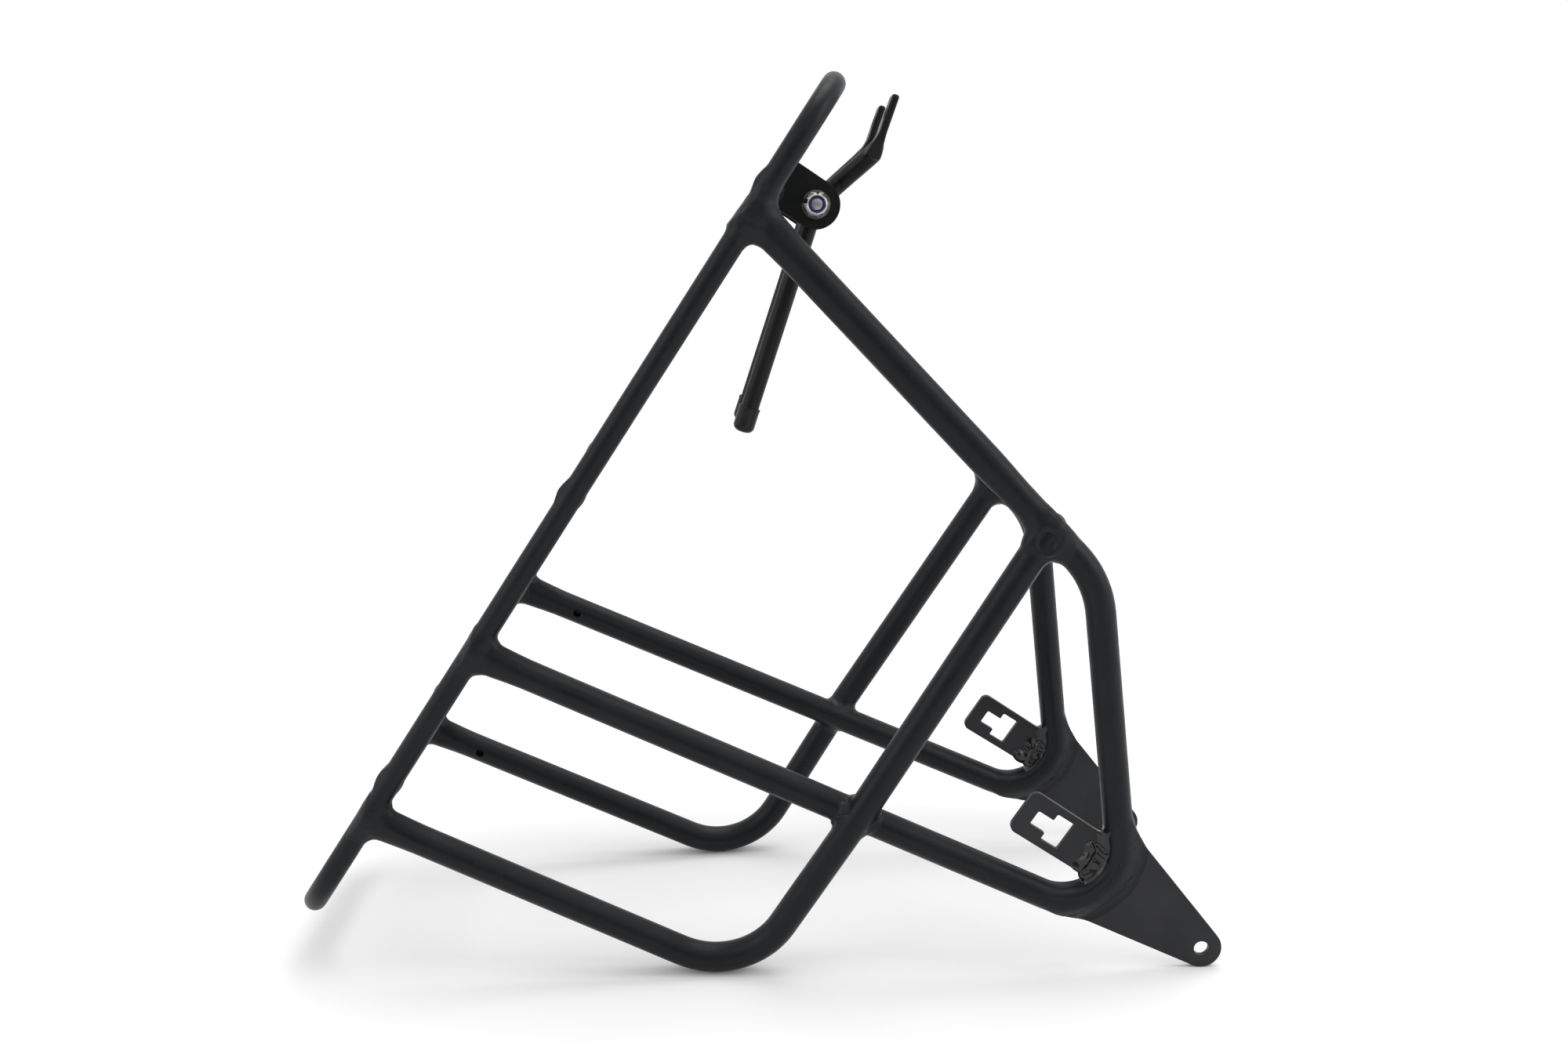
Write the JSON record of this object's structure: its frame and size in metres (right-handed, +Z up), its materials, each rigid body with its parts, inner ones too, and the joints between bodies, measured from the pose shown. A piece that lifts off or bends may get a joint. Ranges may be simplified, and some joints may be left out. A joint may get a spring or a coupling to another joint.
{
  "type": "bicycle luggage carrier",
  "caption": "Black tubular rear luggage carrier for a bicycle, with side rails and two hinged mounting stays, stood on its rail bends and plate tips.",
  "frame": {"origin": "centre of the standing carrier's footprint box, on the floor", "axes": "+X towards the dropout plate tips, +Y across the carrier towards the bicycle's left side, +Z up in the standing pose of the picture, in which the platform leans 56 degrees from the floor"},
  "size_m": [0.4146, 0.1518, 0.3891],
  "materials": {
    "black_powder_coat": "satin black powder coat over aluminium alloy tube, rod and sheet",
    "coated_weld": "weld metal under the same satin black powder coat",
    "zinc_steel": "bright zinc-plated steel",
    "black_washer": "black oxide steel",
    "blue_nylon": "blue-violet nylon locking ring",
    "black_rubber": "smooth black rubber, slightly glossy at the rim"
  },
  "bodies": {
    "frame": {"platform_loop": "black_powder_coat", "cross_tube_front": "black_powder_coat", "cross_tube_middle": "black_powder_coat", "cross_tube_rear": "black_powder_coat", "left_leg_loop": "black_powder_coat", "right_leg_loop": "black_powder_coat", "left_side_rail": "black_powder_coat", "right_side_rail": "black_powder_coat", "left_dropout_plate": "black_powder_coat", "right_dropout_plate": "black_powder_coat", "left_strap_tab": "black_powder_coat", "right_strap_tab": "black_powder_coat", "left_bracket_plate": "black_powder_coat", "right_bracket_plate": "black_powder_coat", "platform_weld_beads": "coated_weld", "left_weld_beads": "coated_weld", "right_weld_beads": "coated_weld", "pivot_bolt": "zinc_steel", "pivot_nut": "zinc_steel", "nut_nylon_ring": "blue_nylon", "outer_washers": "zinc_steel", "inner_washers": "black_washer", "pivot_spacer": "black_washer"},
    "left_stay": {"left_stay_rod": "black_powder_coat", "left_stay_cap": "black_rubber"},
    "right_stay": {"right_stay_rod": "black_powder_coat", "right_stay_cap": "black_rubber"}
  },
  "joints": [
    {"name": "left_stay_hinge", "type": "hinge", "parent": "frame", "child": "left_stay", "pos_m": [0.02951, 0, 0.33555], "axis": [0, 1, 0], "range_deg": [-20, 60]},
    {"name": "right_stay_hinge", "type": "hinge", "parent": "frame", "child": "right_stay", "pos_m": [0.02951, 0, 0.33555], "axis": [0, 1, 0], "range_deg": [-20, 60]}
  ]
}
